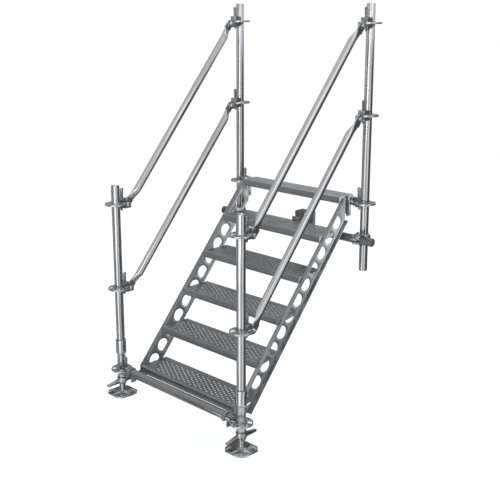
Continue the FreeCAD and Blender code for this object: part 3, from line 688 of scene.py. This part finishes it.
heads = []
nuts = []
for side, x in POST_X.items():
    outward = -1 if side == "left" else 1
    for y, low_level in ((PIVOT_DEPTH, 500), (BAY_DEPTH - PIVOT_DEPTH, 1500)):
        for level in (low_level, low_level + 500):
            bolt_level = level - PIVOT_DROP
            heads.append(((x - outward * PIVOT_HEAD_FACE, y, bolt_level),
                          (-outward, 0, 0), PIVOT_HEAD_SIZE))
            nuts.append(((x + outward * PIVOT_NUT_FACE, y, bolt_level),
                         (outward, 0, 0), PIVOT_NUT_SIZE))
    nuts.append(((x - COUPLER_BOLT, BAY_DEPTH - COUPLER_LUG_FACE, TIE_LEVEL),
                 FORWARD, COUPLER_BOLT_SIZE))
    heads.append(((x - COUPLER_BOLT, BAY_DEPTH + COUPLER_LUG_FACE, TIE_LEVEL),
                  BACK, COUPLER_BOLT_SIZE))
    nuts.append(((x, TIE_DEPTH - COUPLER_BOLT, TIE_LEVEL - COUPLER_LUG_FACE),
                 DOWN, COUPLER_BOLT_SIZE))
    heads.append(((x, TIE_DEPTH - COUPLER_BOLT, TIE_LEVEL + COUPLER_LUG_FACE),
                  UP, COUPLER_BOLT_SIZE))
for x in CLAMP_BOLT_X:
    nuts.append(((x, TIE_DEPTH + CLAMP_BOLT_BACK, TIE_LEVEL + CLAMP_BOLT_RISE),
                 BACK, CLAMP_NUT_SIZE))
for across in (-ANCHOR_ACROSS, ANCHOR_ACROSS):
    for rise in (-ANCHOR_RISE, ANCHOR_RISE):
        nuts.append(((BRACKET_FACE.x + across, BRACKET_FACE.y - PLATE_THICKNESS,
                      BRACKET_FACE.z + rise), FORWARD, ANCHOR_NUT_SIZE))
set_out("pivot_bolt_heads", heads, HEAD, BOLT_ZINC, smooth=40)
set_out("clamp_and_pivot_nuts", nuts, NUT, BOLT_ZINC, smooth=20)

for pattern in (POST_BEAD, LEDGER_BEAD, NUT, HEAD):
    bpy.data.objects.remove(pattern)


def studio_floor():
    """A pale floor, level with the feet when the jacks are wound right out."""
    work = bmesh.new()
    level = at(0, 0, FEET_LEVEL - JACK_REACH - 0.5).z
    for x, y in ((-1, -1), (1, -1), (1, 1), (-1, 1)):
        work.verts.new((x * FLOOR_REACH, y * FLOOR_REACH, level))
    work.faces.new(work.verts)
    floor = made_from("studio_floor", work)
    material, tree, out = bare_material("Pale studio floor")
    paint = node(tree, "ShaderNodeBsdfDiffuse")
    paint.inputs["Color"].default_value = (FLOOR_GREY, FLOOR_GREY, FLOOR_GREY, 1)
    glow = node(tree, "ShaderNodeEmission")
    path = node(tree, "ShaderNodeLightPath")
    seen = worked(tree, "MULTIPLY", path.outputs["Is Camera Ray"], FLOOR_GLOW)
    plug(tree, seen, glow.inputs["Strength"])
    both = node(tree, "ShaderNodeAddShader")
    plug(tree, paint.outputs[0], both.inputs[0])
    plug(tree, glow.outputs[0], both.inputs[1])
    plug(tree, both.outputs[0], out.inputs["Surface"])
    floor.data.materials.append(material)
    # The metal looks past the floor to the pale room and the cards, at its own level all round.
    floor.visible_glossy = False


def reflection_card(name, start, end, low, high, shade):
    """An upright card beside the set, between two bearings, seen only in the metal."""
    work = bmesh.new()
    columns = []
    for number in range(CARD_PANELS + 1):
        bearing = math.radians(start + (end - start) * number / CARD_PANELS)
        x = SET_MIDDLE[0] + CARD_REACH * math.cos(bearing)
        y = SET_MIDDLE[1] + CARD_REACH * math.sin(bearing)
        columns.append([work.verts.new((x, y, height)) for height in (low, high)])
    for (foot, head), (next_foot, next_head) in zip(columns, columns[1:]):
        work.faces.new((foot, next_foot, next_head, head))
    card = made_from(name, work)
    material, tree, out = bare_material(name)
    grey = node(tree, "ShaderNodeEmission")
    grey.inputs["Strength"].default_value = shade
    plug(tree, grey.outputs[0], out.inputs["Surface"])
    material.cycles.emission_sampling = "NONE"
    card.data.materials.append(material)
    card.visible_camera = False
    card.visible_diffuse = False
    card.visible_shadow = False
    card.visible_transmission = False


def studio_world():
    """A pale room for the metal's matt part, white behind the set and in reflections."""
    world = bpy.data.worlds.new("Pale studio")
    bpy.context.scene.world = world
    world.use_nodes = True
    tree = world.node_tree
    tree.nodes.clear()
    out = node(tree, "ShaderNodeOutputWorld")
    room = node(tree, "ShaderNodeBackground")
    white = node(tree, "ShaderNodeBackground")
    for background, strength in ((room, ROOM_LEVEL), (white, 1.0)):
        background.inputs["Color"].default_value = (1, 1, 1, 1)
        background.inputs["Strength"].default_value = strength
    path = node(tree, "ShaderNodeLightPath")
    mix = node(tree, "ShaderNodeMixShader")
    seen = worked(tree, "MAXIMUM", path.outputs["Is Camera Ray"],
                  path.outputs["Is Glossy Ray"])
    plug(tree, seen, mix.inputs["Fac"])
    plug(tree, room.outputs[0], mix.inputs[1])
    plug(tree, white.outputs[0], mix.inputs[2])
    plug(tree, mix.outputs[0], out.inputs["Surface"])


def only(name, metal):
    """The pieces of one metal, for a lamp that lights nothing else."""
    group = bpy.data.collections.new(name)
    for thing in bpy.context.scene.objects:
        if thing.type == "MESH" and thing.data.materials and thing.data.materials[0] == metal:
            group.objects.link(thing)
    return group


def softbox(name, place, target, width, height, power, lit=None):
    """A soft lamp that faces a target; one made for some pieces lights them without shadow."""
    lamp = bpy.data.lights.new(name, "AREA")
    lamp.shape = "RECTANGLE"
    lamp.size = width
    lamp.size_y = height
    lamp.energy = power
    thing = bpy.data.objects.new(name, lamp)
    bpy.context.scene.collection.objects.link(thing)
    thing.location = place
    thing.visible_camera = False
    thing.rotation_euler = (Vector(target) - Vector(place)).to_track_quat("-Z", "Y").to_euler()
    if lit is not None:
        thing.light_linking.receiver_collection = lit
        lamp.use_shadow = False


def photo_camera():
    """The photograph's own viewpoint, found from the posts, rosettes and steps."""
    tilt_down = 13.651
    turn_left = 44.293
    data = bpy.data.cameras.new("photo_view")
    data.sensor_width = 36.0
    data.lens = 62.54
    data.shift_y = -0.06
    camera = bpy.data.objects.new("photo_view", data)
    bpy.context.scene.collection.objects.link(camera)
    camera.location = (3.354, -3.9574, 1.2769)
    camera.rotation_euler = (math.radians(90 - tilt_down), 0, math.radians(turn_left))
    bpy.context.scene.camera = camera


STAIR_PIECES = only("stair_pieces", STAIR_ZINC)
studio_floor()
studio_world()
# Each card: its bearings from and to in degrees, its lower and upper edge, and its brightness.
for card_name, start, end, low, high, shade in (
    ("key_card", -100, -63, -5.0, 3.0, 2.1),
    ("front_left_card", -122, -100, -5.0, 3.0, 0.15),
    ("left_card", -171, -122, -5.0, 1.4, 0.55),
    ("middle_card", -57, -28, -5.0, 1.4, 0.62),
    ("second_card", -20, 6, -5.0, 1.4, 1.3),
    ("far_left_card", -226, -171, -5.0, 0.35, 0.16),
    ("right_card", 16, 84, -5.0, 1.7, 0.12),
    ("far_right_card", 84, 134, -5.0, 0.35, 0.3),
    ("high_back_card", 84, 184, 0.35, 4.0, 0.7),
    ("high_left_card", 184, 215, 0.6, 6.0, 0.7),
    ("rail_card", -42, 0, 2.6, 5.4, 2.0),
):
    reflection_card(card_name, start, end, low, high, shade)
softbox("key_softbox", place=(2.2, -5.0, 1.35), target=SET_MIDDLE,
        width=0.5, height=3.4, power=45)
softbox("side_softbox", place=(2.9, 2.3, -0.1), target=(0.4, -0.5, -0.1),
        width=1.6, height=1.6, power=70, lit=STAIR_PIECES)
softbox("top_softbox", place=(-0.5, 1.5, 3.6), target=SET_MIDDLE,
        width=1.0, height=2.0, power=50)
photo_camera()
bpy.context.scene.view_settings.view_transform = "Standard"
